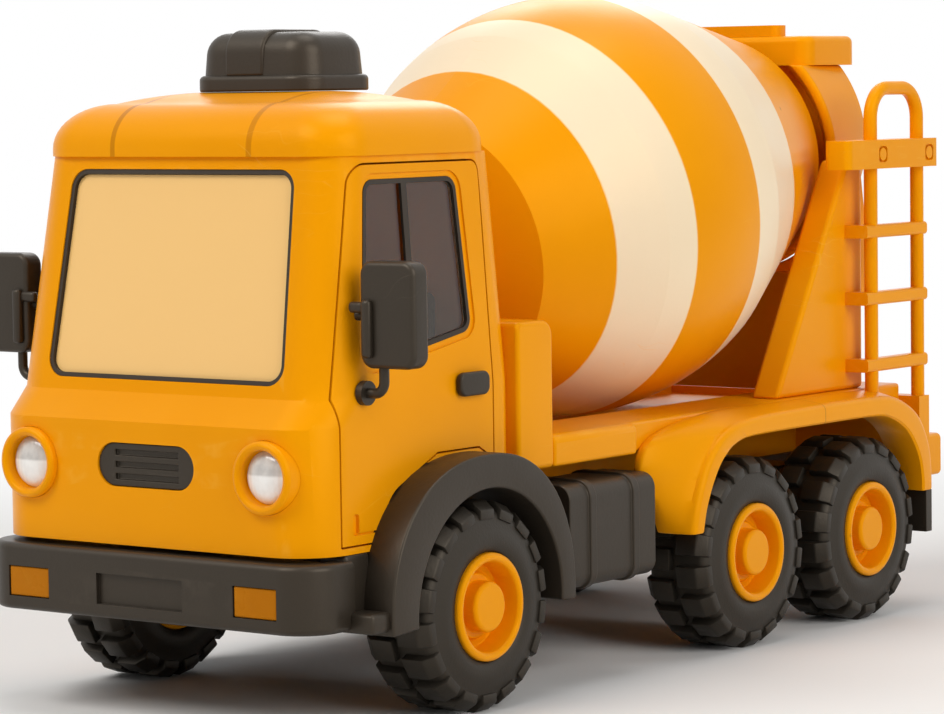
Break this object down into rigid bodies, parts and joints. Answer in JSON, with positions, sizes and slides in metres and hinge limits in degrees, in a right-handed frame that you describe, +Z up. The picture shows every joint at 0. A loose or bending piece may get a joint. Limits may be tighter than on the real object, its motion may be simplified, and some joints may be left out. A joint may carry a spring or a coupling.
{
  "type": "toy concrete mixer truck",
  "caption": "Chunky plastic toy concrete mixer truck with a striped turning drum, opening cab doors, rolling wheels, a rear ladder and a swivelling discharge chute.",
  "frame": {"origin": "on the ground at the middle of the overall box", "axes": "+Z up, the cab faces -Y, +X is the truck's left side"},
  "size_m": [0.172, 0.382, 0.2183],
  "materials": {
    "body_yellow": "satin gloss",
    "drum_striped": "satin gloss with cream bands",
    "trim_charcoal": "satin",
    "tyre_rubber": "matt",
    "seal_black": "matt",
    "screen_cream": "soft gloss",
    "window_tint": "tinted clear",
    "lamp_white": "milky gloss",
    "lamp_amber": "gloss"
  },
  "bodies": {
    "truck": {"back_box": "body_yellow", "beacon_dome": "trim_charcoal", "beacon_tray": "trim_charcoal", "bumper": "trim_charcoal", "cab_roof": "body_yellow", "cab_shell": "body_yellow", "chassis": "trim_charcoal", "collar": "body_yellow", "collar_saddle": "body_yellow", "dashboard": "trim_charcoal", "deck_pan": "body_yellow", "deck_rail_left": "body_yellow", "deck_rail_right": "body_yellow", "front_fender_left": "trim_charcoal", "front_fender_right": "trim_charcoal", "front_pedestal": "body_yellow", "grille": "trim_charcoal", "headlamp_bezel_left": "body_yellow", "headlamp_bezel_right": "body_yellow", "headlamp_lens_left": "lamp_white", "headlamp_lens_right": "lamp_white", "hopper": "body_yellow", "indicator_left": "lamp_amber", "indicator_right": "lamp_amber", "ladder": "body_yellow", "mudflap_left": "trim_charcoal", "mudflap_right": "trim_charcoal", "rear_fender_left": "body_yellow", "rear_fender_right": "body_yellow", "rear_pedestal_left": "body_yellow", "rear_pedestal_right": "body_yellow", "seats": "trim_charcoal", "tail_frame": "body_yellow", "tank_left": "trim_charcoal", "tank_right": "trim_charcoal", "windscreen": "screen_cream", "windscreen_seal": "seal_black"},
    "axle_front": {"tyre_front_left": "tyre_rubber", "tyre_front_right": "tyre_rubber", "wheelset_front": "body_yellow"},
    "axle_mid": {"tyre_mid_left": "tyre_rubber", "tyre_mid_right": "tyre_rubber", "wheelset_mid": "body_yellow"},
    "axle_rear": {"tyre_rear_left": "tyre_rubber", "tyre_rear_right": "tyre_rubber", "wheelset_rear": "body_yellow"},
    "drum": {"drum": "drum_striped"},
    "door_left": {"door_handle_left": "trim_charcoal", "door_left": "body_yellow", "door_window_left": "window_tint", "mirror_left": "trim_charcoal", "window_trim_left": "seal_black"},
    "door_right": {"door_handle_right": "trim_charcoal", "door_right": "body_yellow", "door_window_right": "window_tint", "mirror_right": "trim_charcoal", "window_trim_right": "seal_black"},
    "chute": {"chute": "body_yellow"}
  },
  "joints": [
    {"name": "front_wheels_spin", "type": "hinge", "parent": "truck", "child": "axle_front", "pos_m": [0, -0.117, 0.032], "axis": [1, 0, 0], "continuous": true},
    {"name": "mid_wheels_spin", "type": "hinge", "parent": "truck", "child": "axle_mid", "pos_m": [0, 0.031, 0.032], "axis": [1, 0, 0], "continuous": true},
    {"name": "rear_wheels_spin", "type": "hinge", "parent": "truck", "child": "axle_rear", "pos_m": [0, 0.105, 0.032], "axis": [1, 0, 0], "continuous": true},
    {"name": "drum_spin", "type": "hinge", "parent": "truck", "child": "drum", "pos_m": [0, 0.003, 0.142], "axis": [0, 0.9848, 0.1736], "continuous": true},
    {"name": "door_left_swing", "type": "hinge", "parent": "truck", "child": "door_left", "pos_m": [0.064, -0.1735, 0.076], "axis": [0, 0, -1], "range_deg": [0, 65]},
    {"name": "door_right_swing", "type": "hinge", "parent": "truck", "child": "door_right", "pos_m": [-0.064, -0.1735, 0.076], "axis": [0, 0, 1], "range_deg": [0, 65]},
    {"name": "chute_swivel", "type": "hinge", "parent": "truck", "child": "chute", "pos_m": [0, 0.16, 0.103], "axis": [0, 0, 1], "range_deg": [-55, 55]}
  ]
}
